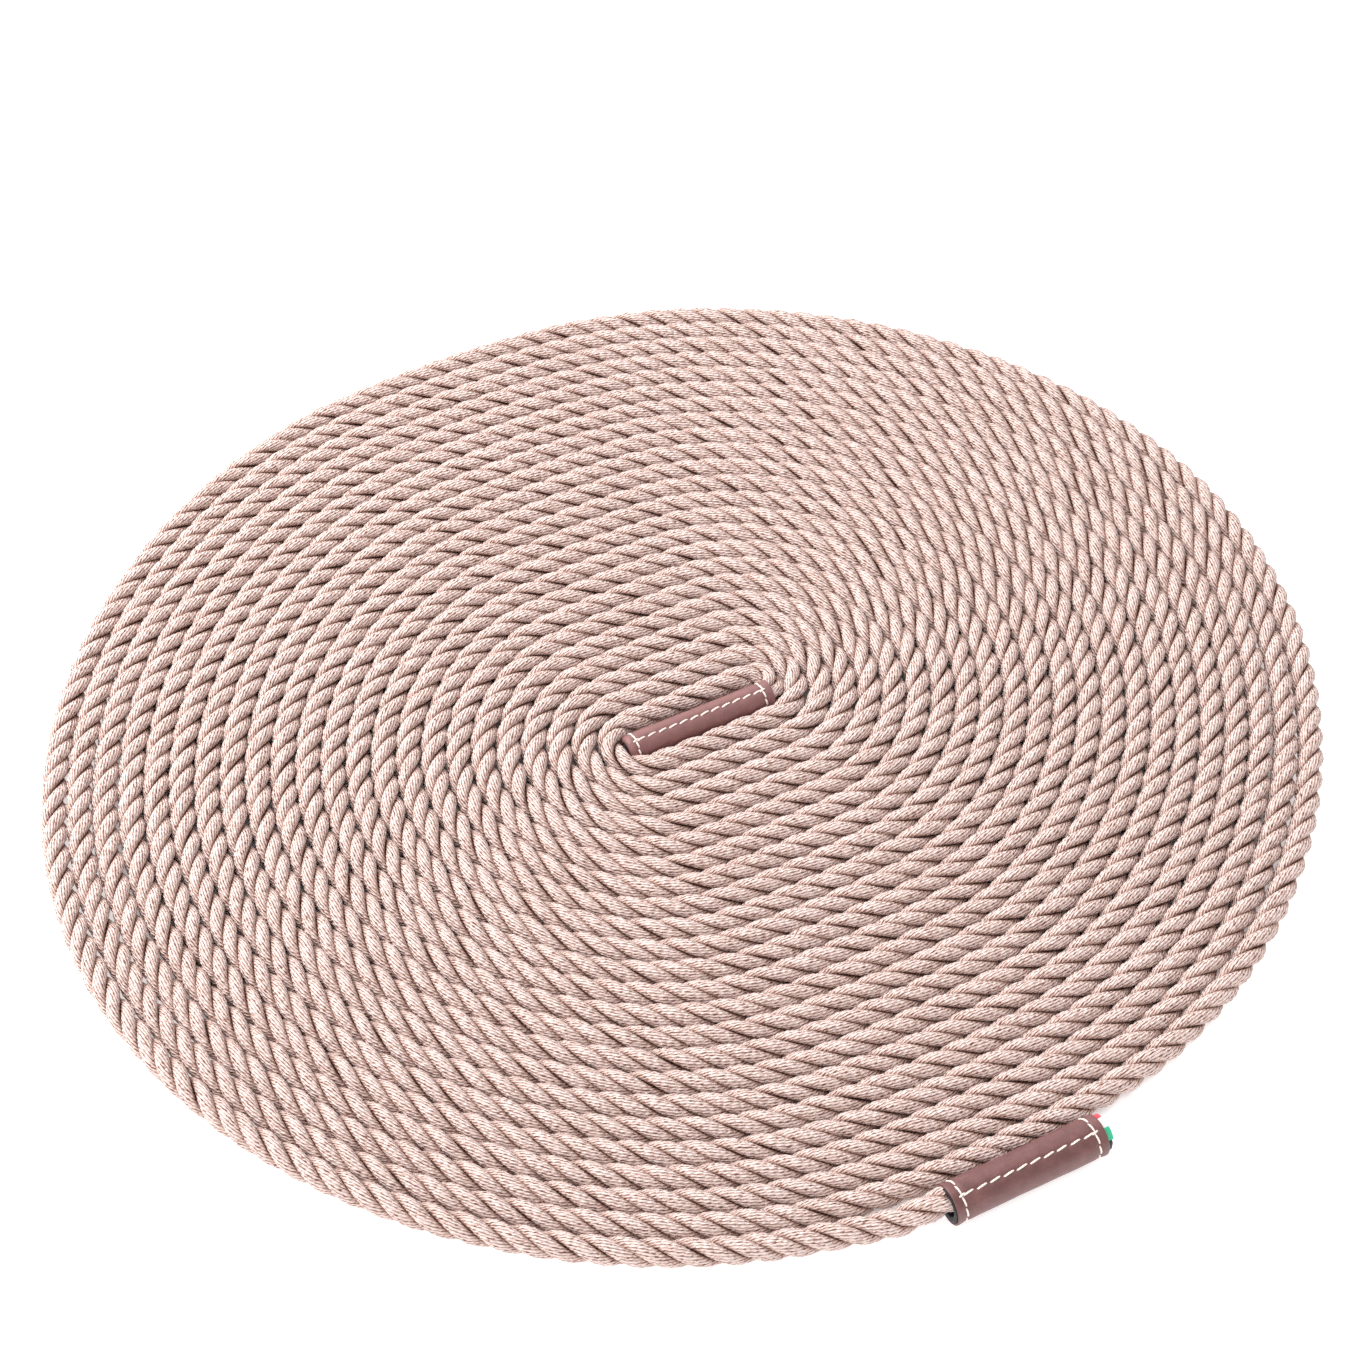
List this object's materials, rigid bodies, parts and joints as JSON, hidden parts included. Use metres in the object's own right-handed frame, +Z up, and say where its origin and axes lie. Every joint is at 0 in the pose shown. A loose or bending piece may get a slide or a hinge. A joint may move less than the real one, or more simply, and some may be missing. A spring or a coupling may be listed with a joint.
{
  "type": "training leash",
  "caption": "Long dog training leash: laid rope wound flat into a spiral coil, with a stitched leather sleeve on each end.",
  "frame": {"origin": "on the resting surface, under the middle of the box round the coil", "axes": "+X along both sleeves, +Y towards the side away from the outer sleeve, +Z up"},
  "size_m": [0.3982, 0.3774, 0.0121],
  "materials": {
    "rope": "three-strand laid synthetic rope, beige with a slight rose tint, fine twisted yarns",
    "sleeve_leather": "smooth reddish brown leather, satin",
    "stitching": "waxed cream thread",
    "end_cap": "black shrunk cap, satin",
    "ribbon": "narrow woven ribbon in red, white and green bands"
  },
  "bodies": {
    "root": {"rope_coil": "rope", "inner_leather_sleeve": "sleeve_leather", "inner_seam_thread": "stitching", "inner_mouth_thread": "stitching", "inner_tip_thread": "stitching", "inner_end_cap": "end_cap", "outer_leather_sleeve": "sleeve_leather", "outer_seam_thread": "stitching", "outer_mouth_thread": "stitching", "outer_tip_thread": "stitching", "outer_end_cap": "end_cap", "ribbon_tab": "ribbon"}
  },
  "joints": []
}
